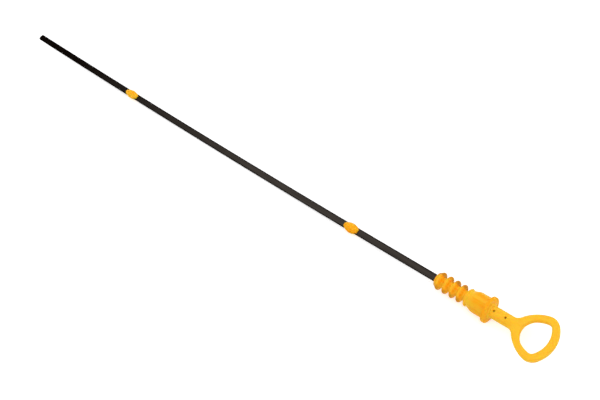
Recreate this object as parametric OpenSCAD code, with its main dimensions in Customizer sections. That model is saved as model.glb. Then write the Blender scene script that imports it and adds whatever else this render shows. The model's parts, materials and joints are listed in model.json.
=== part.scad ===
// Engine oil dipstick: a flat sprung strip with two guide beads, moulded into
// a handle that has a ribbed plug, a seat flange, a stem and a finger loop.
// Millimetres, +Z up, lying as it rests. The origin is the centre of the
// flange's seat, and +X points along the strip towards the finger loop.
// The handle is drawn straight along its own axis and then laid down.

/* [Part to show] */
// One piece, or all of them

/* [Blade] */
// Width of the strip
blade_w = 5.9; // [4.5:0.1:6.2]
// Thickness of the strip
blade_t = 1; // [0.7:0.1:1.4]
// Length of strip outside the plug, from its nose to the tip
blade_free = 500.8; // [470:1:700]
// How far the free length bows, measured from its chord
blade_bow = 7; // [3:0.2:10]
// Corner radius at the tip
tip_r = 1.8; // [0.6:0.1:2.2]
// Upper level mark, from the tip
mark_upper = 33; // [25:1:60]
// Distance between the two level marks
mark_gap = 20; // [12:1:24]
// Width of a mark's groove
mark_w = 0.9; // [0.5:0.1:1.5]
// Depth of a mark's groove
mark_depth = 0.2; // [0.1:0.05:0.3]
// Strip left beyond the second support hole, inside the stem
tang_past = 4; // [2.5:0.5:5]

/* [Guide beads] */
// Centre of the lower bead, from the tip
lower_bead_at = 141.8; // [110:0.5:200]
// Length of the lower bead
lower_bead_len = 15; // [11:0.2:18]
// Largest diameter of the lower bead
lower_bead_d = 7.6; // [7:0.1:8.4]
// Centre of the upper bead, from the plug's nose
upper_bead_from_nose = 85.5; // [40:0.2:160]
// Length of the upper bead
upper_bead_len = 14; // [11:0.2:18]
// Largest diameter of the upper bead
upper_bead_d = 8.3; // [7.2:0.1:9]
// Diameter of a bead's blunt ends
bead_end_d = 3.4; // [2.6:0.1:3.8]

/* [Ribbed plug] */
// Length of the plug, from its nose to the flange's seat
plug_len = 46; // [45:0.1:54]
// Diameter of the nose's front
nose_d = 11.8; // [9.4:0.1:12]
// Bevel round the nose
nose_bevel = 0.4; // [0.3:0.1:1.2]
// From the nose to the crest of the first rib
first_rib = 3.6; // [3:0.1:4.5]
// Number of sealing ribs
rib_count = 4; // [2:1:4]
// Spacing of the ribs
rib_pitch = 6.4; // [5.8:0.1:6.8]
// Diameter over the ribs
rib_d = 14.4; // [13:0.1:15]
// Diameter at the bottom of the grooves
groove_d = 8; // [7:0.1:10]
// Radius round a rib's crest
rib_r = 1; // [0.8:0.1:1.5]
// Land at the bottom of a groove
groove_land = 1.2; // [0.8:0.1:1.8]
// Diameter of the lip behind the last groove
lip_d = 14.4; // [13.6:0.1:15]
// Diameter of the waist behind the lip
waist_d = 12.9; // [12.4:0.1:13.4]
// From the lip back to the waist
waist_back = 2; // [1.5:0.1:2.2]
// Diameter of the cylinder that fills the tube's mouth
body_d = 16.6; // [15.4:0.1:17]
// Length of that cylinder
body_len = 9.7; // [7:0.1:10]
// Length of the rounded lead in front of that cylinder
body_lead = 1.7; // [1.2:0.1:2]
// Depth of that lead, per side
body_step = 0.4; // [0.2:0.1:0.6]

/* [Flange] */
// Diameter of the flange
flange_d = 20.8; // [19:0.1:24]
// Thickness of the flange
flange_t = 2.4; // [1.8:0.1:4]
// Bevel on both edges of the rim
rim_bevel = 0.35; // [0.2:0.05:0.6]
// Diameter of the hub on the flange's back
hub_d = 12.2; // [12:0.1:15]
// Height of the hub
hub_h = 1.2; // [1:0.1:2.4]

/* [Stem] */
// Width of the stem
stem_w = 9.8; // [9:0.1:10.6]
// Thickness of the stem, which is an oval rod
stem_t = 7.8; // [7.2:0.1:8.4]
// Length over which the rod flattens into the loop's plate
stem_fade = 7; // [5:0.5:9]
// Diameter of the support holes that bare the strip
hole_d = 1.8; // [1.2:0.1:2.4]
// First support hole, from the seat
hole_at = 5.8; // [5.5:0.1:8]
// Spacing of the two support holes
hole_pitch = 9.7; // [7:0.1:9.8]

/* [Finger loop] */
// Thickness of the loop
loop_t = 5; // [4.2:0.1:5.6]
// Rounding of the loop's long edges
edge_r = 1.2; // [0.6:0.1:1.6]
// From the seat to the near end of the opening
opening_at = 29.1; // [28:0.1:32]
// From the seat to the far end of the loop
loop_end = 55.3; // [53:0.1:60]
// Greatest width over the loop
loop_w = 36.7; // [36:0.1:42]
// Width of the loop's bar round the far corners and the far end
bar_w = 5.6; // [5:0.1:6.2]
// Width of the bar beside the end nearest the stem
bar_near = 5.1; // [4.2:0.1:5.6]
// Outer radius of the two far corners
corner_r = 9.4; // [8:0.1:10]
// From the far end back to the centres of those corners
corner_back = 12.4; // [11.4:0.1:13.4]
// Outer radius of the two long sides
side_r = 29; // [27:0.5:34]
// Inner radius of the end nearest the stem
apex_r = 11.8; // [9:0.1:12.4]
// Radius where the stem opens out into the loop
throat_r = 8; // [6:0.1:12]

/* [Hidden] */
$fn = 96;

// The bow is one arc that leaves the nose along the handle's axis.
bow_r = blade_free * blade_free / (8 * blade_bow);
deg_mm = 180 / (PI * bow_r);

// Lying on a flat surface it touches at the lower bead and at the rim of the
// flange, and these two settle the angle at which the handle lies.
bead_s = blade_free - lower_bead_at;
rest_a = bow_r * (1 - cos(bead_s * deg_mm)) + flange_d / 2;
rest_b = plug_len + bow_r * sin(bead_s * deg_mm) + rim_bevel;
rest_tilt = acos(lower_bead_d / 2 / norm([rest_a, rest_b])) - atan2(rest_b, rest_a);

tang_end = hole_at + hole_pitch + tang_past;

// The loop's plate runs on inside the oval stem as a tail that it covers.
tail_w = stem_w - 1.4;
stem_end = opening_at - 2.4;
hub_end = stem_w / 2 + 0.4;

// The point at distance ra from a and rb from b, on the right of the way
// from a to b.
function meeting(a, ra, b, rb) = let (gap = norm(b - a), way = (b - a) / gap,
    on = (ra * ra - rb * rb + gap * gap) / (2 * gap))
    a + on * way + sqrt(max(0.01, ra * ra - on * on)) * [way[1], -way[0]];

// Centres of the arcs that make up half of the loop, on the +Y side: far
// corner, end nearest the stem, far end, long side outside and inside the
// bar, and throat.
corner_c = [loop_end - corner_back, loop_w / 2 - corner_r];
apex_c = [opening_at + apex_r, 0];
far_c = [(pow(loop_end - corner_r, 2) - corner_c[0] * corner_c[0] - corner_c[1] * corner_c[1])
    / (2 * (corner_back - corner_r)), 0];
far_r = loop_end - far_c[0];
side_c = meeting(apex_c, side_r - bar_near - apex_r, corner_c, side_r - corner_r);
hole_r = side_r - (bar_w + bar_near) / 2;
hole_c = meeting(apex_c, hole_r - apex_r, corner_c, hole_r - corner_r + bar_w);
throat_c = [side_c[0] - sqrt(pow(side_r + throat_r, 2) - pow(tail_w / 2 + throat_r - side_c[1], 2)),
    tail_w / 2 + throat_r];

function dir_to(a, b) = atan2(b[1] - a[1], b[0] - a[0]);

far_half = dir_to(far_c, corner_c);
corner_to = dir_to(side_c, corner_c);
hole_to = dir_to(hole_c, corner_c);
apex_to = dir_to(hole_c, apex_c);
throat_to = dir_to(side_c, throat_c);

// A place on the bowed strip, s from the nose, with X along the strip.
module on_strip(s) {
    translate([-plug_len, 0, bow_r])
        rotate([0, s * deg_mm, 0])
            translate([0, 0, -bow_r])
                children();
}

// The whole strip seen from its edge: straight inside the handle, and then
// one even bow out to the tip.
strip_steps = 48;
strip_line = [for (i = [0:strip_steps]) i * blade_free / strip_steps];

function strip_edge(side) = [for (s = strip_line)
    [-plug_len - (bow_r + side) * sin(s * deg_mm), bow_r - (bow_r + side) * cos(s * deg_mm)]];

function backwards(list) = [for (i = [len(list) - 1:-1:0]) list[i]];

module strip() {
    rotate([90, 0, 0])
        linear_extrude(blade_w, center = true)
            polygon(concat([[tang_end, -blade_t / 2]], strip_edge(blade_t / 2),
                backwards(strip_edge(-blade_t / 2)), [[tang_end, blade_t / 2]]));
}

// What is cut away to round the tip's two corners.
module tip_corners() {
    for (side = [-1, 1])
        linear_extrude(4 * blade_t, center = true)
            polygon(concat([[-1, side * (blade_w / 2 - tip_r)]],
                [for (a = [12:11:78]) [tip_r - tip_r * cos(a), side * (blade_w / 2 - tip_r + tip_r * sin(a))]],
                [[tip_r, side * blade_w], [-1, side * blade_w]]));
}

module level_mark(from_tip) {
    on_strip(blade_free - from_tip)
        translate([-mark_w / 2, -blade_w, blade_t / 2 - mark_depth])
            cube([mark_w, 2 * blade_w, blade_t]);
}

module blade() {
    color("dimgray")
        rotate([0, -rest_tilt, 0])
            difference() {
                strip();
                on_strip(blade_free)
                    tip_corners();
                level_mark(mark_upper);
                level_mark(mark_upper - mark_gap);
            }
}

// An olive, s from the nose: an even arc turned round the strip and cut off
// blunt at both ends.
module guide_bead(s, len, d) {
    rise = (d - bead_end_d) / 2;
    arc_r = (len * len / 4 + rise * rise) / (2 * rise);
    color("orange")
        rotate([0, -rest_tilt, 0])
            difference() {
                on_strip(s)
                    rotate([0, 90, 0])
                        rotate_extrude()
                            intersection() {
                                translate([d / 2 - arc_r, 0])
                                    circle(arc_r, $fn = 3 * $fn);
                                translate([0, -len / 2])
                                    square([d, len]);
                            }
                strip();
            }
}

module lower_guide_bead() {
    guide_bead(bead_s, lower_bead_len, lower_bead_d);
}

module upper_guide_bead() {
    guide_bead(upper_bead_from_nose, upper_bead_len, upper_bead_d);
}

// A rib's crest, rounded over from one flank to the other.
function crest(at, d) = [for (a = [-72:24:72]) [d / 2 - rib_r * (1 - cos(a)), at + rib_r * sin(a)]];

// Outline of the turned part of the handle: radius, then place along it.
rib_at = [for (i = [0:rib_count]) -plug_len + first_rib + i * rib_pitch];
lip_at = rib_at[rib_count];
turned = concat(
    [[0, -plug_len], [nose_d / 2 - nose_bevel, -plug_len], [nose_d / 2, -plug_len + nose_bevel]],
    [for (i = [0:rib_count - 1], p = concat(crest(rib_at[i], rib_d), [
        [groove_d / 2, rib_at[i] + rib_pitch / 2 - groove_land / 2],
        [groove_d / 2, rib_at[i] + rib_pitch / 2 + groove_land / 2]])) p],
    crest(lip_at, lip_d),
    [[waist_d / 2, lip_at + waist_back],
        [body_d / 2 - body_step, -body_len - body_lead],
        [body_d / 2, -body_len],
        [body_d / 2, 0],
        [flange_d / 2 - rim_bevel, 0],
        [flange_d / 2, rim_bevel],
        [flange_d / 2, flange_t - rim_bevel],
        [flange_d / 2 - rim_bevel, flange_t],
        [hub_d / 2, flange_t],
        [hub_end, flange_t + hub_h],
        [0, flange_t + hub_h]]);

module turned_part() {
    rotate([0, 90, 0])
        rotate_extrude()
            polygon(turned);
}

// The oval stem: even for most of its length, and then flattened until its
// end lies inside the plate.
module stem_slice(from, len, t) {
    translate([from, 0, 0])
        rotate([0, 90, 0])
            linear_extrude(len)
                scale([t, stem_w])
                    circle(d = 1, $fn = 64);
}

module stem() {
    hull() {
        stem_slice(flange_t / 2, stem_end - stem_fade - flange_t / 2, stem_t);
        stem_slice(stem_end, 0.01, 0.8 * loop_t);
    }
}

// The throat and the finger loop are one plate with rounded edges. Each
// outline is a run of arcs that meet without a corner, and inset draws it
// that much further inside the plate.
steps_throat = 9;
steps_side = 10;
steps_corner = 12;
steps_far = 8;
steps_edge = 3;

function arc(c, r, a0, a1, n, from = 1) = [for (i = [from:n])
    c + r * [cos(a0 + (a1 - a0) * i / n), sin(a0 + (a1 - a0) * i / n)]];

function outer_half(inset) = concat(
    [[stem_end - stem_fade - throat_r, tail_w / 2 - inset]],
    arc(throat_c, throat_r + inset, -90, throat_to - 180, steps_throat, 0),
    arc(side_c, side_r - inset, throat_to, corner_to, steps_side),
    arc(corner_c, corner_r - inset, corner_to, far_half, steps_corner),
    arc(far_c, far_r - inset, far_half, 0, steps_far));

function inner_half(inset) = concat(
    arc(apex_c, apex_r + inset, 180, apex_to, steps_throat + 1, 0),
    arc(hole_c, hole_r + inset, apex_to, hole_to, steps_side),
    arc(corner_c, corner_r - bar_w + inset, hole_to, far_half, steps_corner),
    arc(far_c, far_r - bar_w + inset, far_half, 0, steps_far));

// Closes a half outline with its mirror image. The last point is left out of
// the opening's outline, because it would fall on the first one.
function whole(half, last) = concat(half,
    [for (i = [len(half) - 2:-1:last]) [half[i][0], -half[i][1]]]);

// Levels from the underside to the top face, with the inset at each.
edge_levels = [for (i = [0:steps_edge]) let (a = 90 * i / steps_edge)
    [loop_t / 2 - edge_r + edge_r * sin(a), edge_r * (1 - cos(a))]];
levels = concat([for (l = backwards(edge_levels)) [-l[0], l[1]]], edge_levels);
top = len(levels) - 1;
round_out = len(whole(outer_half(0), 0));
round_in = round_out - 1;

function outer_at(j, i) = j * (round_out + round_in) + i;
function inner_at(j, i) = j * (round_out + round_in) + round_out + i % round_in;
function lift(list, z) = [for (p = list) [p[0], p[1], z]];

module plate() {
    points = [for (l = levels, p = concat(
        lift(whole(outer_half(l[1]), 0), l[0]), lift(whole(inner_half(l[1]), 1), l[0]))) p];
    walls = [for (j = [0:top - 1], i = [0:round_out - 2], f = [
        [outer_at(j, i), outer_at(j, i + 1), outer_at(j + 1, i + 1)],
        [outer_at(j, i), outer_at(j + 1, i + 1), outer_at(j + 1, i)],
        [inner_at(j, i), inner_at(j + 1, i + 1), inner_at(j, i + 1)],
        [inner_at(j, i), inner_at(j + 1, i), inner_at(j + 1, i + 1)]]) f];
    faces = [for (i = [0:round_out - 2], f = [
        [outer_at(top, i), outer_at(top, i + 1), inner_at(top, i + 1)],
        [outer_at(top, i), inner_at(top, i + 1), inner_at(top, i)],
        [outer_at(0, i), inner_at(0, i + 1), outer_at(0, i + 1)],
        [outer_at(0, i), inner_at(0, i), inner_at(0, i + 1)]]) f];
    ends = [
        [outer_at(top, 0), inner_at(top, 0), outer_at(top, round_out - 1)],
        [outer_at(0, 0), outer_at(0, round_out - 1), inner_at(0, 0)],
        concat([for (j = [0:top]) outer_at(j, 0)],
            [for (j = [top:-1:0]) outer_at(j, round_out - 1)])];
    polyhedron(points, concat(walls, faces, ends), convexity = 6);
}

module support_holes() {
    for (i = [0, 1])
        translate([hole_at + i * hole_pitch, 0, 0])
            cylinder(d = hole_d, h = 2 * stem_t, center = true);
}

module handle() {
    color("orange")
        rotate([0, -rest_tilt, 0])
            difference() {
                union() {
                    turned_part();
                    stem();
                    plate();
                }
                strip();
                support_holes();
            }
}

blade();
lower_guide_bead();
upper_guide_bead();
handle();
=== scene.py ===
import json
import math
import bmesh
import bpy
from mathutils import Matrix, Vector


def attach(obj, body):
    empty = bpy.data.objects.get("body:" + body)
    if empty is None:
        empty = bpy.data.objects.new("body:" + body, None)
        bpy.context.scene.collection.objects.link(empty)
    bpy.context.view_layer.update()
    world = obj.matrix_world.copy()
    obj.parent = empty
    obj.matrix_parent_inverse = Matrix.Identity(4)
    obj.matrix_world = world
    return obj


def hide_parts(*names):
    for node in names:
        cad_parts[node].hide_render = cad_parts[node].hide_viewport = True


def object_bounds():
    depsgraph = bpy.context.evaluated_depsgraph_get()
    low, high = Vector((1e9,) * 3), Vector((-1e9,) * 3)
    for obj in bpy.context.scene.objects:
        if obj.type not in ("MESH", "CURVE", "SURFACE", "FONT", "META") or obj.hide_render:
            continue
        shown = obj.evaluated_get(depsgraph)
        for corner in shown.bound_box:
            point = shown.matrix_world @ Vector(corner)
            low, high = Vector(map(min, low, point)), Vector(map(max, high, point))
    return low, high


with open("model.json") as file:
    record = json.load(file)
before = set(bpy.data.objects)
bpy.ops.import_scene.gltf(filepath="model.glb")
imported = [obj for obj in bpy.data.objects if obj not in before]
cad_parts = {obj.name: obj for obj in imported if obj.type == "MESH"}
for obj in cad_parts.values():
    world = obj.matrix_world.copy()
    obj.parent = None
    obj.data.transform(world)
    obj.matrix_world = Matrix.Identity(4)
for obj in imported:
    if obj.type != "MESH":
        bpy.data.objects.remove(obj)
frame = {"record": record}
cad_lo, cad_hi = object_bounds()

# Camera: above the handle and in front of it, looking along the strip as it
# runs away to the upper left. AWAY is the sine of the angle at which the strip
# recedes, SIDE how far the camera leans over to -Y, and ROLL its turn.
LENS = 55.8
SENSOR = 36
CLIP = 0.01
AWAY = 0.512
SIDE = math.radians(15.1)
ROLL = math.radians(31.51)
STRIP_MIDDLE = Vector((-0.1838, 0, -0.0062))
AIM_BESIDE, AIM_ALONG = 0.00225, 0.0017
DISTANCE = 0.769
across = math.sqrt(1 - AWAY * AWAY)
back = Vector((AWAY, -across * math.sin(SIDE), across * math.cos(SIDE)))
along = Vector((across, AWAY * math.sin(SIDE), -AWAY * math.cos(SIDE)))
beside = Vector((0, math.cos(SIDE), math.sin(SIDE)))
right = math.cos(ROLL) * along + math.sin(ROLL) * beside
up = -math.sin(ROLL) * along + math.cos(ROLL) * beside
eye = STRIP_MIDDLE - AIM_BESIDE * beside - AIM_ALONG * along + DISTANCE * back
lens = bpy.data.cameras.new("camera")
lens.lens = LENS
lens.sensor_width = SENSOR
lens.clip_start = CLIP
camera = bpy.data.objects.new("camera", lens)
bpy.context.collection.objects.link(camera)
camera.matrix_world = Matrix((
    (right.x, up.x, back.x, eye.x),
    (right.y, up.y, back.y, eye.y),
    (right.z, up.z, back.z, eye.z),
    (0, 0, 0, 1)))
bpy.context.scene.camera = camera
bpy.context.scene.view_settings.view_transform = "Standard"

# Light: a wide soft box overhead in a room that is lit more dimly, so that it
# leaves hardly a shadow. The camera and the strip's gloss see plain white all
# round instead.
OVERHEAD = Vector((0.1, 0.12, 1.0)).normalized()
BOX_EDGE, BOX_FULL = 0.1, 0.85
ROOM_LEVEL, BOX_LEVEL = 0.42, 1.31
WHITE = (1, 1, 1, 1)
world = bpy.data.worlds.new("room")
bpy.context.scene.world = world
world.use_nodes = True
room = world.node_tree
room.nodes.clear()
sky = room.nodes.new("ShaderNodeTexCoord")
towards = room.nodes.new("ShaderNodeVectorMath")
towards.operation = "DOT_PRODUCT"
towards.inputs[1].default_value = OVERHEAD
glow = room.nodes.new("ShaderNodeMapRange")
glow.interpolation_type = "SMOOTHSTEP"
glow.inputs["From Min"].default_value = BOX_EDGE
glow.inputs["From Max"].default_value = BOX_FULL
glow.inputs["To Min"].default_value = ROOM_LEVEL
glow.inputs["To Max"].default_value = BOX_LEVEL
lamp = room.nodes.new("ShaderNodeBackground")
lamp.inputs["Color"].default_value = WHITE
plain = room.nodes.new("ShaderNodeBackground")
plain.inputs["Color"].default_value = WHITE


def seen_directly(tree):
    """One for rays from the camera, off a gloss or through glass, or else nothing."""
    path = tree.nodes.new("ShaderNodeLightPath")
    total = path.outputs["Is Camera Ray"]
    for kind in ("Is Glossy Ray", "Is Transmission Ray"):
        add = tree.nodes.new("ShaderNodeMath")
        add.operation = "ADD"
        add.use_clamp = True
        tree.links.new(total, add.inputs[0])
        tree.links.new(path.outputs[kind], add.inputs[1])
        total = add.outputs[0]
    return total


mix = room.nodes.new("ShaderNodeMixShader")
sky_out = room.nodes.new("ShaderNodeOutputWorld")
room.links.new(sky.outputs["Generated"], towards.inputs[0])
room.links.new(towards.outputs["Value"], glow.inputs["Value"])
room.links.new(glow.outputs["Result"], lamp.inputs["Strength"])
room.links.new(seen_directly(room), mix.inputs["Fac"])
room.links.new(lamp.outputs[0], mix.inputs[1])
room.links.new(plain.outputs[0], mix.inputs[2])
room.links.new(mix.outputs[0], sky_out.inputs["Surface"])

# Floor: a pale, dull sheet of paper under the dipstick, which fades into the
# white behind it.
FLOOR_HALF = 6.0
PAPER = (0.95, 0.95, 0.95, 1)
PAPER_GLOW = 0.38
bm = bmesh.new()
bmesh.ops.create_grid(bm, x_segments=1, y_segments=1, size=FLOOR_HALF)
bmesh.ops.translate(bm, vec=(0, 0, cad_lo.z), verts=bm.verts)
sheet = bpy.data.meshes.new("floor")
bm.to_mesh(sheet)
bm.free()
floor = bpy.data.objects.new("floor", sheet)
bpy.context.collection.objects.link(floor)
paper = bpy.data.materials.new("paper")
paper.use_nodes = True
pulp = paper.node_tree.nodes["Principled BSDF"]
pulp.inputs["Base Color"].default_value = PAPER
pulp.inputs["Roughness"].default_value = 1.0
pulp.inputs["Specular IOR Level"].default_value = 0.0
pulp.inputs["Emission Color"].default_value = WHITE
lift = paper.node_tree.nodes.new("ShaderNodeMath")
lift.operation = "MULTIPLY"
lift.inputs[1].default_value = PAPER_GLOW
paper.node_tree.links.new(seen_directly(paper.node_tree), lift.inputs[0])
paper.node_tree.links.new(lift.outputs[0], pulp.inputs["Emission Strength"])
sheet.materials.append(paper)

# Spring strip: rolled spring steel, blackened by a heat treatment, with its
# edges rolled round, two level marks pressed across it and a lasting bow. Its
# straight end is moulded into the handle. Sizes here and below are in mm.
STRIP_W = 5.9
STRIP_T = 1.0
STRIP_FREE = 500.8
STRIP_BOW = 7.0
NOSE_X = -46.0
TANG_X = 19.5
EDGE_R = 0.22
CROWN = 0.04
TIP_R = 1.8
TIP_STEPS = (1.5, 1.2, 0.9, 0.65, 0.42, 0.24, 0.1, 0.03, 0.0)
BOW_STEP = 4.0
MARKS = (33.0, 13.0)
MARK_W = 0.9
MARK_DEEP = 0.2
MARK_WALL = 0.08
STRIP_CREASE = 30
SECTION_CUTS = 7
END_SLACK = 0.1
MM = 0.001
WELD = 1e-4
BOW_R = STRIP_FREE ** 2 / (8 * STRIP_BOW)
bow_centre = Vector((NOSE_X, 0, BOW_R))
seat_axis = frame["record"]["mounts"][0]["axis"]
LEAN = math.atan2(-seat_axis[2], -seat_axis[0])


def drawn(bm, name):
    """A form in mm along the handle's own axis, with its faces turned outwards."""
    bmesh.ops.remove_doubles(bm, verts=bm.verts, dist=WELD)
    bmesh.ops.recalc_face_normals(bm, faces=bm.faces)
    mesh = bpy.data.meshes.new(name)
    bm.to_mesh(mesh)
    bm.free()
    form = bpy.data.objects.new(name, mesh)
    bpy.context.collection.objects.link(form)
    return form


def laid_down(form, name, material, crease):
    """The finished piece: the form in metres, turned from the handle's axis to how it
    lies, with edges sharper than crease (in degrees) left sharp. A sliver that a cut
    left open is closed."""
    bm = bmesh.new()
    bm.from_mesh(form.data)
    bmesh.ops.holes_fill(bm, edges=[e for e in bm.edges if e.is_boundary], sides=4)
    bmesh.ops.recalc_face_normals(bm, faces=bm.faces)
    lay = Matrix.Rotation(-LEAN, 4, "Y") @ Matrix.Scale(MM, 4)
    bmesh.ops.transform(bm, matrix=lay, verts=bm.verts)
    for face in bm.faces:
        face.smooth = True
    for edge in bm.edges:
        edge.smooth = edge.calc_face_angle(0.0) < math.radians(crease)
    mesh = bpy.data.meshes.new(name)
    bm.to_mesh(mesh)
    bm.free()
    mesh.materials.append(material)
    piece = bpy.data.objects.new(name, mesh)
    bpy.context.collection.objects.link(piece)
    return piece


bm = bmesh.new()
corners = [bm.verts.new((NOSE_X, y, z)) for y, z in (
    (-STRIP_W / 2, -STRIP_T / 2), (STRIP_W / 2, -STRIP_T / 2),
    (STRIP_W / 2, STRIP_T / 2), (-STRIP_W / 2, STRIP_T / 2))]
bm.faces.new(corners)
bmesh.ops.bevel(bm, geom=corners, offset=EDGE_R, offset_type="OFFSET", affect="VERTICES",
                segments=4, profile=0.5, material=-1)
bmesh.ops.delete(bm, geom=list(bm.faces), context="FACES_ONLY")
broad_sides = [e for e in bm.edges if e.calc_length() > STRIP_W / 2]
bmesh.ops.subdivide_edges(bm, edges=broad_sides, cuts=SECTION_CUTS)
for v in bm.verts:
    v.co.z *= 1 - CROWN * (2 * v.co.y / STRIP_W) ** 2
first = list(bm.verts) + list(bm.edges)


def ring_verts(ring):
    return [g for g in ring if isinstance(g, bmesh.types.BMVert)]


def ring_edges(ring):
    return [g for g in ring if isinstance(g, bmesh.types.BMEdge)]


def bent_on(ring, length, steps=1):
    """Carries the section on along the bow, away from the handle."""
    return bmesh.ops.spin(bm, geom=ring, cent=bow_centre, axis=(0, 1, 0),
                          angle=length / BOW_R, steps=steps)["geom_last"]


def sunk(ring, depth):
    """Presses the upper side of a ring down, or lifts it back."""
    verts = ring_verts(ring)
    middle = sum(v.co.z for v in verts) / len(verts)
    upper = [v for v in verts if v.co.z > middle + STRIP_T / 10]
    bmesh.ops.translate(bm, vec=(0, 0, -depth), verts=upper)


ring, reached = first, 0.0
for mark in MARKS:
    near = STRIP_FREE - mark - MARK_W / 2 - MARK_WALL
    ring = bent_on(ring, near - reached, math.ceil((near - reached) / BOW_STEP))
    ring = bent_on(ring, MARK_WALL)
    sunk(ring, MARK_DEEP)
    ring = bent_on(ring, MARK_W, 2)
    ring = bent_on(ring, MARK_WALL)
    sunk(ring, -MARK_DEEP)
    reached = near + MARK_W + 2 * MARK_WALL
ring = bent_on(ring, STRIP_FREE - TIP_R - reached, 4)
width, to_tip = STRIP_W / 2, TIP_R
for left in TIP_STEPS:
    ring = bent_on(ring, to_tip - left)
    narrow = STRIP_W / 2 - TIP_R + math.sqrt(TIP_R ** 2 - (TIP_R - left) ** 2)
    bmesh.ops.scale(bm, vec=(1, narrow / width, 1), verts=ring_verts(ring))
    width, to_tip = narrow, left
bmesh.ops.edgeloop_fill(bm, edges=ring_edges(ring))
tang = bmesh.ops.extrude_edge_only(bm, edges=ring_edges(first))["geom"]
bmesh.ops.translate(bm, vec=(TANG_X - NOSE_X, 0, 0), verts=ring_verts(tang))
bmesh.ops.edgeloop_fill(bm, edges=[
    e for e in ring_edges(tang) if min(v.co.x for v in e.verts) > TANG_X - END_SLACK])
strip_form = drawn(bm, "strip_form")


def group_of(name, inputs, outputs):
    """An empty shader node group with number inputs and the outputs named."""
    tree = bpy.data.node_groups.new(name, "ShaderNodeTree")
    for label, value in inputs:
        socket = tree.interface.new_socket(label, in_out="INPUT", socket_type="NodeSocketFloat")
        socket.default_value = value
    for label in outputs:
        tree.interface.new_socket(label, in_out="OUTPUT", socket_type="NodeSocketFloat")
    return tree, tree.nodes.new("NodeGroupInput"), tree.nodes.new("NodeGroupOutput")


def node(tree, kind, operation=None, **values):
    """A node with its inputs set by name, an underscore standing for a space."""
    made = tree.nodes.new(kind)
    if operation:
        made.operation = operation
    for label, value in values.items():
        made.inputs[label.replace("_", " ")].default_value = value
    return made


def on_axis(tree):
    """Object coordinates turned to the handle's own axis, still in metres."""
    place = tree.nodes.new("ShaderNodeTexCoord")
    turned = tree.nodes.new("ShaderNodeMapping")
    turned.inputs["Rotation"].default_value = (0, LEAN, 0)
    tree.links.new(place.outputs["Object"], turned.inputs["Vector"])
    return turned.outputs["Vector"]


# Lengthwise streaks, as rolling leaves them in steel and as pulling through a
# tube leaves them in plastic.
streaks, s_in, s_out = group_of(
    "lengthwise_streaks", (("Lengthwise scale", 20.0), ("Crosswise scale", 900.0), ("Contrast", 1.0)),
    ("Value",))
stretch = streaks.nodes.new("ShaderNodeCombineXYZ")
streaks.links.new(s_in.outputs["Lengthwise scale"], stretch.inputs["X"])
streaks.links.new(s_in.outputs["Crosswise scale"], stretch.inputs["Y"])
streaks.links.new(s_in.outputs["Crosswise scale"], stretch.inputs["Z"])
scaled = node(streaks, "ShaderNodeVectorMath", "MULTIPLY")
streaks.links.new(on_axis(streaks), scaled.inputs[0])
streaks.links.new(stretch.outputs[0], scaled.inputs[1])
grain = node(streaks, "ShaderNodeTexNoise", Scale=1.0, Detail=3.0, Roughness=0.6)
streaks.links.new(scaled.outputs[0], grain.inputs["Vector"])
centred = node(streaks, "ShaderNodeMath", "SUBTRACT")
centred.inputs[1].default_value = 0.5
spread = node(streaks, "ShaderNodeMath", "MULTIPLY")
streaks.links.new(grain.outputs["Fac"], centred.inputs[0])
streaks.links.new(centred.outputs[0], spread.inputs[0])
streaks.links.new(s_in.outputs["Contrast"], spread.inputs[1])
streaks.links.new(spread.outputs[0], s_out.inputs["Value"])

# A ragged ramp along the axis, from none at the handle's side of a place to
# all of it at the tip's side, with a ragged front. It places painted light: the
# fading of the strip's painted reflection, and where the ribs' painted shade
# falls.
painted_light_ramp, o_in, o_out = group_of(
    "ragged_ramp_along_axis", (("Clean from", 0.0), ("Soaked from", -0.1), ("Raggedness", 0.3)), ("Mask",))
where = painted_light_ramp.nodes.new("ShaderNodeSeparateXYZ")
spot = on_axis(painted_light_ramp)
painted_light_ramp.links.new(spot, where.inputs[0])
front = painted_light_ramp.nodes.new("ShaderNodeMapRange")
painted_light_ramp.links.new(where.outputs["X"], front.inputs["Value"])
painted_light_ramp.links.new(o_in.outputs["Clean from"], front.inputs["From Min"])
painted_light_ramp.links.new(o_in.outputs["Soaked from"], front.inputs["From Max"])
blots = node(painted_light_ramp, "ShaderNodeTexNoise", Scale=140.0, Detail=4.0, Roughness=0.65)
painted_light_ramp.links.new(spot, blots.inputs["Vector"])
about = node(painted_light_ramp, "ShaderNodeMath", "SUBTRACT")
about.inputs[1].default_value = 0.5
ragged = node(painted_light_ramp, "ShaderNodeMath", "MULTIPLY_ADD")
ragged.use_clamp = True
painted_light_ramp.links.new(blots.outputs["Fac"], about.inputs[0])
painted_light_ramp.links.new(about.outputs[0], ragged.inputs[0])
painted_light_ramp.links.new(o_in.outputs["Raggedness"], ragged.inputs[1])
painted_light_ramp.links.new(front.outputs["Result"], ragged.inputs[2])
painted_light_ramp.links.new(ragged.outputs[0], o_out.inputs["Mask"])

# Fine skin: the faint unevenness of a rolled or moulded surface.
skin, k_in, k_out = group_of(
    "fine_skin", (("Grain scale", 2500.0), ("Patch scale", 60.0)), ("Height", "Patches"))
spot = on_axis(skin)
fine = node(skin, "ShaderNodeTexNoise", Detail=2.0, Roughness=0.55)
patchy = node(skin, "ShaderNodeTexNoise", Detail=3.0, Roughness=0.5)
for texture, scale, label in ((fine, "Grain scale", "Height"), (patchy, "Patch scale", "Patches")):
    skin.links.new(spot, texture.inputs["Vector"])
    skin.links.new(k_in.outputs[scale], texture.inputs["Scale"])
    skin.links.new(texture.outputs["Fac"], k_out.inputs[label])


def placed(tree, group, **values):
    """A group put into a material with that material's own values."""
    made = tree.nodes.new("ShaderNodeGroup")
    made.node_tree = group
    for label, value in values.items():
        made.inputs[label.replace("_", " ")].default_value = value
    return made


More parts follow.
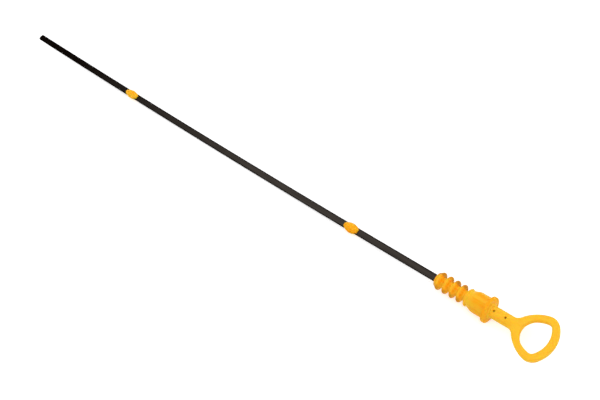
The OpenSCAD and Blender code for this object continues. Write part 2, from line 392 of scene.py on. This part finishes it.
def blended(tree, fac, a, b):
    """A colour mix; each of fac, a and b is a value or another node's output. The
    node's colour sockets have no names of their own, so they go by number."""
    mixer = tree.nodes.new("ShaderNodeMix")
    mixer.data_type = "RGBA"
    mixer.clamp_factor = True
    for socket, value in ((mixer.inputs[0], fac), (mixer.inputs[6], a), (mixer.inputs[7], b)):
        if isinstance(value, bpy.types.NodeSocket):
            tree.links.new(value, socket)
        else:
            socket.default_value = value
    return mixer.outputs[2]


def ranged(tree, value, ramp):
    """A value carried along a ramp, which is level beyond both its ends. A ramp holds
    where it starts and ends, and what it gives there."""
    low, high, to_low, to_high = ramp
    span = node(tree, "ShaderNodeMapRange", From_Min=low, From_Max=high, To_Min=to_low,
                To_Max=to_high)
    span.interpolation_type = "SMOOTHSTEP"
    tree.links.new(value, span.inputs["Value"])
    return span.outputs["Result"]


def bumped(tree, height, bump):
    """Normals roughened by a height. A bump holds its depth in metres and its strength."""
    distance, strength = bump
    made = node(tree, "ShaderNodeBump", Strength=strength, Distance=distance)
    tree.links.new(height, made.inputs["Height"])
    return made.outputs["Normal"]


# The steel's colours, and its ramps: a painted reflection, strongest towards the
# handle and fading to none at the tip, painted shade on the edges by the
# distance from the middle, streaks by the grain, and roughness by the skin's
# patches.
STEEL_WITH_PAINTED_REFLECTION = (0.061, 0.0515, 0.0445, 1)
DARK_TIP_STEEL = (0.0036, 0.0020, 0.0013, 1)
ROLLED_STEEL = (0.012, 0.0095, 0.0085, 1)
SHADED_EDGE_STEEL = (0.006, 0.005, 0.0045, 1)
GRAZING_STEEL = (0.25, 0.23, 0.2, 1)
EDGE_SHADE_RAMP = (0.0015, 0.0028, 0.0, 0.85)
ROLL_STREAKS = (-0.25, 0.25, 0.0, 0.5)
STEEL_ROUGH = (0.3, 0.7, 0.22, 0.36)
STEEL_BUMP = (0.00002, 0.3)
steel = bpy.data.materials.new("blackened_strip")
steel.use_nodes = True
tree = steel.node_tree
oxide = tree.nodes["Principled BSDF"]
oxide.inputs["Metallic"].default_value = 1.0
oxide.inputs["Specular Tint"].default_value = GRAZING_STEEL
grain = placed(tree, streaks, Lengthwise_scale=18.0, Crosswise_scale=1100.0, Contrast=1.0)
reflection_fade = placed(tree, painted_light_ramp, Clean_from=-0.24, Soaked_from=-0.49, Raggedness=0.35)
surface = placed(tree, skin, Grain_scale=3000.0, Patch_scale=45.0)
sides = tree.nodes.new("ShaderNodeSeparateXYZ")
tree.links.new(on_axis(tree), sides.inputs[0])
outwards = node(tree, "ShaderNodeMath", "ABSOLUTE")
tree.links.new(sides.outputs["Y"], outwards.inputs[0])
# Painted reflection: the lighter steel towards the handle fades to the dark steel at the tip.
with_reflection = blended(tree, reflection_fade.outputs["Mask"], STEEL_WITH_PAINTED_REFLECTION, DARK_TIP_STEEL)
rolled = blended(tree, ranged(tree, grain.outputs["Value"], ROLL_STREAKS), with_reflection, ROLLED_STEEL)
# Painted shade: the steel darkens towards both edges.
with_edge_shade = blended(tree, ranged(tree, outwards.outputs[0], EDGE_SHADE_RAMP), rolled, SHADED_EDGE_STEEL)
tree.links.new(with_edge_shade, oxide.inputs["Base Color"])
tree.links.new(ranged(tree, surface.outputs["Patches"], STEEL_ROUGH), oxide.inputs["Roughness"])
tree.links.new(bumped(tree, surface.outputs["Height"], STEEL_BUMP), oxide.inputs["Normal"])

strip = laid_down(strip_form, "spring_strip", steel, STRIP_CREASE)
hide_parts("blade")
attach(strip, "root")

# Guide beads: two olives of the handle's plastic, moulded round the strip so
# that it doesn't scrape along the tube. The strip comes out through their
# flanks. Each has its distance from the nose, its length and its diameter.
BEAD_END_R = 1.7
BEAD_ROUND = 0.35
BEAD_CREASE = 35
BEAD_ARC_STEPS, BEAD_TURN_STEPS = 28, 72
LOWER_FROM_TIP = 141.8
BEADS = (("lower_olive", "lower_guide_bead", STRIP_FREE - LOWER_FROM_TIP, 15.0, 7.6),
         ("upper_olive", "upper_guide_bead", 85.5, 14.0, 8.3))


def applied(form):
    """Makes a form's modifiers part of its mesh."""
    graph = bpy.context.evaluated_depsgraph_get()
    form.data = bpy.data.meshes.new_from_object(form.evaluated_get(graph))
    form.modifiers.clear()


def combined(form, other, operation):
    """Cuts another form out of this one, or joins the two into one skin."""
    step = form.modifiers.new(operation, "BOOLEAN")
    step.operation = operation
    step.solver = "EXACT"
    step.object = other
    applied(form)


# The plastic's colours: two of clean plastic in patches, a deeper orange that
# is painted shade on the ribs, the cylinder and the flange, and a brown that is
# painted shade on the ribs' sides over it. The ramps below measure in metres on
# the handle's axis.
CLEAN = (0.95, 0.54, 0.031, 1)
CLEAN_DEEPER = (0.95, 0.50, 0.024, 1)
SHADE_ORANGE = (0.97, 0.355, 0.001, 1)
SHADE_BROWN = (0.50, 0.20, 0.01, 1)
PLASTIC_PATCHES = (0.3, 0.7, 0.0, 0.35)
PLASTIC_ROUGH = (0.3, 0.7, 0.4, 0.52)
PLASTIC_BUMP = (0.00003, 0.25)
# The ribs' painted shade, by radius: deeper in the grooves than on the crests.
RIB_SHADE_RAMP = (0.0050, 0.0072, 1.0, 0.55)
# The painted shade of the cylinder and the flange, by X, and by radius to spare the stem.
MOUTH_FROM = (-0.0155, -0.0085, 0.0, 0.85)
MOUTH_TO = (0.0018, 0.0032, 1.0, 0.0)
MOUTH_OUTSIDE = (0.0045, 0.0062, 0.0, 1.0)
# A painted highlight: a streak along the cylinder with less of the painted shade, by Y, but not on
# the flange.
HIGHLIGHT_FROM = (-0.0009, 0.0005, 1.0, 0.3)
HIGHLIGHT_TO = (0.0019, 0.0033, 0.0, 0.7)
ON_FLANGE = (-0.001, 0.0, 0.0, 1.0)
# How much drag streaks thin the painted shade, and how far the flange is spared.
DRAG_STREAKS = (-0.1, 0.12, 0.3, 1.0)
FLANGE_EVEN = (-0.001, 0.0, 0.0, 0.75)
# Painted shade on both sides of the ribs, by the distance from a line beside the middle.
SIDE_SHADE_BESIDE = 0.00135
SIDE_SHADE_RAMP = (0.0029, 0.0058, 0.0, 0.9)
SIDE_SHADE_PATCHES = (0.35, 0.6, 0.5, 1.0)
yellow = bpy.data.materials.new("yellow_moulding")
yellow.use_nodes = True
tree = yellow.node_tree
plastic = tree.nodes["Principled BSDF"]
plastic.inputs["Specular IOR Level"].default_value = 0.06
plastic.inputs["Subsurface Weight"].default_value = 0.6
plastic.inputs["Subsurface Radius"].default_value = (1.0, 0.3, 0.06)
plastic.inputs["Subsurface Scale"].default_value = 0.002
drag = placed(tree, streaks, Lengthwise_scale=12.0, Crosswise_scale=420.0, Contrast=1.0)
# Where the ribs' painted shade and the painted side shade fall: along the ribs, fading out before the
# lip.
rib_zone = placed(tree, painted_light_ramp, Clean_from=-0.016, Soaked_from=-0.0205, Raggedness=0.2).outputs["Mask"]
surface = placed(tree, skin, Grain_scale=1400.0, Patch_scale=90.0)
patches = surface.outputs["Patches"]
spot = on_axis(tree)
spots = tree.nodes.new("ShaderNodeSeparateXYZ")
tree.links.new(spot, spots.inputs[0])
lengthwise, crosswise = spots.outputs["X"], spots.outputs["Y"]
beside_axis = node(tree, "ShaderNodeVectorMath", "MULTIPLY")
beside_axis.inputs[1].default_value = (0, 1, 1)
tree.links.new(spot, beside_axis.inputs[0])
off_axis = node(tree, "ShaderNodeVectorMath", "LENGTH")
tree.links.new(beside_axis.outputs[0], off_axis.inputs[0])
radius = off_axis.outputs["Value"]
shifted = node(tree, "ShaderNodeMath", "ADD")
shifted.inputs[1].default_value = SIDE_SHADE_BESIDE
tree.links.new(crosswise, shifted.inputs[0])
off_line = node(tree, "ShaderNodeMath", "ABSOLUTE")
tree.links.new(shifted.outputs[0], off_line.inputs[0])


def both(tree, a, b, operation="MULTIPLY"):
    """Two values brought together by an operation, held between nothing and one."""
    made = node(tree, "ShaderNodeMath", operation)
    made.use_clamp = True
    tree.links.new(a, made.inputs[0])
    tree.links.new(b, made.inputs[1])
    return made.outputs[0]


# Painted shade on the ribs, deeper in the grooves.
on_ribs = both(tree, rib_zone, ranged(tree, radius, RIB_SHADE_RAMP))
at_mouth = both(tree, ranged(tree, lengthwise, MOUTH_FROM), ranged(tree, lengthwise, MOUTH_TO))
at_mouth = both(tree, at_mouth, ranged(tree, radius, MOUTH_OUTSIDE))
# The painted highlight: a band by Y where less painted shade is laid on.
outside_highlight = both(tree, ranged(tree, crosswise, HIGHLIGHT_FROM), ranged(tree, crosswise, HIGHLIGHT_TO), "ADD")
outside_highlight = both(tree, outside_highlight, ranged(tree, lengthwise, ON_FLANGE), "ADD")
dragged = both(tree, ranged(tree, drag.outputs["Value"], DRAG_STREAKS),
               ranged(tree, lengthwise, FLANGE_EVEN), "MAXIMUM")
# Painted shade on the ribs, cylinder and flange, less in the highlight band and thinned by drag
# streaks.
plug_shade_amount = both(tree, dragged, both(tree, on_ribs, both(tree, at_mouth, outside_highlight), "ADD"))
# Painted shade, brown, on both sides of the ribs, broken into patches.
with_side_shade = both(tree, rib_zone, ranged(tree, off_line.outputs[0], SIDE_SHADE_RAMP))
with_side_shade = both(tree, with_side_shade, ranged(tree, patches, SIDE_SHADE_PATCHES))
clean = blended(tree, ranged(tree, patches, PLASTIC_PATCHES), CLEAN, CLEAN_DEEPER)
with_plug_shade = blended(tree, plug_shade_amount, clean, SHADE_ORANGE)
tree.links.new(blended(tree, with_side_shade, with_plug_shade, SHADE_BROWN), plastic.inputs["Base Color"])
tree.links.new(ranged(tree, patches, PLASTIC_ROUGH), plastic.inputs["Roughness"])
tree.links.new(bumped(tree, surface.outputs["Height"], PLASTIC_BUMP), plastic.inputs["Normal"])

for name, cad_node, from_nose, length, diameter in BEADS:
    rise = diameter / 2 - BEAD_END_R
    arc_r = (length ** 2 / 4 + rise ** 2) / (2 * rise)
    half = math.asin(length / 2 / arc_r)
    bm = bmesh.new()
    rim = bm.verts.new((length / 2, BEAD_END_R, 0))
    axis_end = bm.verts.new((length / 2, 0, 0))
    bm.edges.new((axis_end, rim))
    arc = bmesh.ops.spin(bm, geom=[rim], cent=(0, diameter / 2 - arc_r, 0), axis=(0, 0, 1),
                         angle=2 * half, steps=BEAD_ARC_STEPS)["geom_last"]
    far_rim = ring_verts(arc)[0]
    far_end = bm.verts.new((-length / 2, 0, 0))
    bm.edges.new((far_rim, far_end))
    bmesh.ops.bevel(bm, geom=[rim, far_rim], offset=BEAD_ROUND, offset_type="OFFSET",
                    affect="VERTICES", segments=3, profile=0.5, material=-1)
    bmesh.ops.spin(bm, geom=list(bm.verts) + list(bm.edges), cent=(0, 0, 0), axis=(1, 0, 0),
                   angle=2 * math.pi, steps=BEAD_TURN_STEPS, use_merge=True)
    bmesh.ops.translate(bm, vec=(NOSE_X, 0, 0), verts=bm.verts)
    bmesh.ops.rotate(bm, cent=bow_centre, matrix=Matrix.Rotation(from_nose / BOW_R, 3, "Y"),
                     verts=bm.verts)
    olive_form = drawn(bm, name + "_form")
    combined(olive_form, strip_form, "DIFFERENCE")
    olive = laid_down(olive_form, name, yellow, BEAD_CREASE)
    bpy.data.objects.remove(olive_form)
    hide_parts(cad_node)
    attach(olive, "root")

# Handle: one piece of yellow plastic, moulded over the strip's straight end. Its
# plug, cylinder and flange are round, and an oval stem flattens into the plate
# of the finger loop. Two holes in the stem show where pins held the strip.
NOSE_R = 5.2
NOSE_ROUND = 1.2
RIBS = 4
RIB_PITCH = 6.4
FIRST_RIB = 3.6
CREST_R = 1.0
RIB_R = 7.2
GROOVE_R = 4.0
GROOVE_LAND = 1.2
GROOVE_ROUND = 0.45
BROAD, STEEP = 72.0, 57.3
WAIST_BACK, WAIST_R = 2.0, 6.45
BODY_R = 8.3
BODY_LEN = 9.7
BODY_LEAD, BODY_STEP = 1.7, 0.4
FLANGE_R = 10.385
FLANGE_T = 2.4
HUB_R, HUB_TOP_R, HUB_H = 6.1, 5.3, 1.2
STEM_W = 9.8
STEM_T = 7.8
LOOP_T = 5.0
LOOP_EDGE = 1.2
PIN_HOLES = (5.8, 15.5)
PIN_HOLE_R = 0.9
HANDLE_CREASE = 40
HANDLE_TURN_STEPS = 112
HOLE_STEPS = 32


def line_to(bm, end, x, y):
    """Draws an outline on by a straight line and gives its new end."""
    made = bmesh.ops.extrude_vert_indiv(bm, verts=[end])["verts"][0]
    made.co = (x, y, 0)
    return made


def arc_about(bm, end, centre, degrees, steps):
    """Draws an outline on by an arc, positive against the clock, and gives its new end."""
    made = bmesh.ops.spin(bm, geom=[end], cent=(centre[0], centre[1], 0), axis=(0, 0, 1),
                          angle=math.radians(degrees), steps=steps)["geom_last"]
    return ring_verts(made)[0]


def crest(bm, end, x, before, after):
    """Draws an outline over a rounded crest, from so many degrees before its top to after."""
    middle = RIB_R - CREST_R
    a = math.radians(before)
    end = line_to(bm, end, x - CREST_R * math.sin(a), middle + CREST_R * math.cos(a))
    return arc_about(bm, end, (x, middle), -before - after, 10)


fillets = []


def corner(bm, end, x, y, offset):
    """Draws an outline on to a corner that is rounded later, and gives its new end."""
    end = line_to(bm, end, x, y)
    fillets.append((end, offset))
    return end


bm = bmesh.new()
end = bm.verts.new((NOSE_X, 0, 0))
end = corner(bm, end, NOSE_X, NOSE_R, NOSE_ROUND)
for i in range(RIBS):
    at = NOSE_X + FIRST_RIB + i * RIB_PITCH
    end = crest(bm, end, at, STEEP if i else BROAD, STEEP)
    end = corner(bm, end, at + (RIB_PITCH - GROOVE_LAND) / 2, GROOVE_R, GROOVE_ROUND)
    end = corner(bm, end, at + (RIB_PITCH + GROOVE_LAND) / 2, GROOVE_R, GROOVE_ROUND)
lip = NOSE_X + FIRST_RIB + RIBS * RIB_PITCH
end = crest(bm, end, lip, STEEP, BROAD)
# Each corner from here on has its place along the axis, its radius and its round.
for x, y, offset in (
        (lip + WAIST_BACK, WAIST_R, 0.8),
        (-BODY_LEN - BODY_LEAD, BODY_R - BODY_STEP, 0.7), (-BODY_LEN, BODY_R, 0.7), (0, BODY_R, 0.2),
        (0, FLANGE_R, 0.4), (FLANGE_T, FLANGE_R, 0.4),
        (FLANGE_T, HUB_R, 0.5), (FLANGE_T + HUB_H, HUB_TOP_R, 0.4)):
    end = corner(bm, end, x, y, offset)
line_to(bm, end, FLANGE_T + HUB_H, 0)
for vert, offset in fillets:
    bmesh.ops.bevel(bm, geom=[vert], offset=offset, offset_type="OFFSET", affect="VERTICES",
                    segments=3, profile=0.5, material=-1)
bmesh.ops.spin(bm, geom=list(bm.verts) + list(bm.edges), cent=(0, 0, 0), axis=(1, 0, 0),
               angle=2 * math.pi, steps=HANDLE_TURN_STEPS, use_merge=True)
handle_form = drawn(bm, "handle_form")

# The loop's outline and its opening are runs of arcs that meet without a
# corner. These are the arcs' centres on the +Y side and, in degrees, the
# directions in which they meet.
TAIL_X, TAIL_HALF = 11.7, 4.2
OPENING_X = 29.1
THROAT = (18.054, 12.2)
SIDE_BAR = (47.594, -10.080)
OPENING_SIDE = (46.124, -10.636)
BEND = (42.9, 8.95)
FAR_END = (31.050, 0.0)
APEX = (40.9, 0.0)
THROAT_AT, BEND_AT, FAR_AT, APEX_AT, OPENING_AT = 142.98, 103.86, 37.06, 116.16, 99.35
MIRROR_WELD = 1e-3
RIM_ANGLE = 1.0

bm = bmesh.new()
end = bm.verts.new((TAIL_X, 0, 0))
end = line_to(bm, end, TAIL_X, TAIL_HALF)
end = line_to(bm, end, THROAT[0], TAIL_HALF)
for centre, degrees, steps in (
        (THROAT, THROAT_AT - 90, 14), (SIDE_BAR, BEND_AT - THROAT_AT, 28),
        (BEND, FAR_AT - BEND_AT, 20), (FAR_END, -FAR_AT, 22)):
    end = arc_about(bm, end, centre, degrees, steps)
end.co.y = 0
end = bm.verts.new((OPENING_X, 0, 0))
for centre, degrees, steps in (
        (APEX, APEX_AT - 180, 20), (OPENING_SIDE, OPENING_AT - APEX_AT, 12),
        (BEND, FAR_AT - OPENING_AT, 14), (FAR_END, -FAR_AT, 16)):
    end = arc_about(bm, end, centre, degrees, steps)
end.co.y = 0
bmesh.ops.mirror(bm, geom=list(bm.verts) + list(bm.edges), matrix=Matrix.Identity(4),
                 merge_dist=MIRROR_WELD, axis="Y")
bmesh.ops.remove_doubles(bm, verts=bm.verts, dist=MIRROR_WELD)
bmesh.ops.triangle_fill(bm, use_beauty=True, use_dissolve=False, edges=bm.edges)
bmesh.ops.translate(bm, vec=(0, 0, -LOOP_T / 2), verts=bm.verts)
bmesh.ops.solidify(bm, geom=list(bm.faces), thickness=-LOOP_T)
bmesh.ops.recalc_face_normals(bm, faces=bm.faces)
rims = [e for e in bm.edges if abs(e.verts[0].co.z - e.verts[1].co.z) < WELD
        and e.calc_face_angle(0.0) > RIM_ANGLE]
bmesh.ops.bevel(bm, geom=rims, offset=LOOP_EDGE, offset_type="OFFSET", affect="EDGES",
                segments=4, profile=0.5, clamp_overlap=False, material=-1)

# The stem is a run of ovals from inside the flange to inside the plate, where
# it has faded to less than the plate's thickness.
FADE_FROM, FADE_TO, FADE_STEPS = 17.7, 27.9, 8
FADE_END_T = 0.86 * LOOP_T
OVAL_STEPS = 64
rings = [(FLANGE_T / 2, STEM_T), (FADE_FROM, STEM_T)]
for i in range(1, FADE_STEPS + 1):
    t = i / FADE_STEPS
    eased = t * t * (3 - 2 * t)
    rings.append((FADE_FROM + t * (FADE_TO - FADE_FROM), STEM_T - (STEM_T - FADE_END_T) * eased))
ovals = []
for x, thick in rings:
    turn = Matrix.Translation((x, 0, 0)) @ Matrix.Rotation(math.pi / 2, 4, "Y")
    shape = Matrix.Diagonal((thick / 2, STEM_W / 2, 1, 1))
    made = bmesh.ops.create_circle(bm, cap_ends=False, segments=OVAL_STEPS, radius=1,
                                   matrix=turn @ shape)["verts"]
    ovals.append(list(dict.fromkeys(e for v in made for e in v.link_edges)))
for a, b in zip(ovals, ovals[1:]):
    bmesh.ops.bridge_loops(bm, edges=a + b)
bmesh.ops.edgeloop_fill(bm, edges=ovals[0])
bmesh.ops.edgeloop_fill(bm, edges=ovals[-1])
loop_form = drawn(bm, "loop_form")

# Stem and plate are cast into one skin, which is smoothed a little all over and
# more in the hollows where they meet, as in the mould. SNUG keeps the loop
# inside the width of the CAD's.
VOXEL = 0.3
HOLLOW_X, HOLLOW_Y = (15, 30), 8
SMOOTH_ALL, SMOOTH_HOLLOW = 4, 26
SNUG = 0.9998
cast = loop_form.modifiers.new("cast", "REMESH")
cast.mode = "VOXEL"
cast.voxel_size = VOXEL
applied(loop_form)
bm = bmesh.new()
bm.from_mesh(loop_form.data)
hollow = [v for v in bm.verts if HOLLOW_X[0] < v.co.x < HOLLOW_X[1] and abs(v.co.y) < HOLLOW_Y]
for verts, times in ((list(bm.verts), SMOOTH_ALL), (hollow, SMOOTH_HOLLOW)):
    for i in range(times):
        bmesh.ops.smooth_vert(bm, verts=verts, factor=0.5, use_axis_x=True, use_axis_y=True,
                              use_axis_z=True)
bmesh.ops.scale(bm, vec=(1, SNUG, 1), verts=bm.verts)
bm.to_mesh(loop_form.data)
bm.free()
combined(handle_form, loop_form, "UNION")
bpy.data.objects.remove(loop_form)

bm = bmesh.new()
for x in PIN_HOLES:
    bmesh.ops.create_cone(bm, cap_ends=True, segments=HOLE_STEPS, radius1=PIN_HOLE_R,
                          radius2=PIN_HOLE_R, depth=2 * STEM_T,
                          matrix=Matrix.Translation((x, 0, 0)))
pins = drawn(bm, "pins")
combined(handle_form, pins, "DIFFERENCE")
bpy.data.objects.remove(pins)
combined(handle_form, strip_form, "DIFFERENCE")
bpy.data.objects.remove(strip_form)
handle = laid_down(handle_form, "handle_moulding", yellow, HANDLE_CREASE)
bpy.data.objects.remove(handle_form)
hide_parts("handle")
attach(handle, "root")
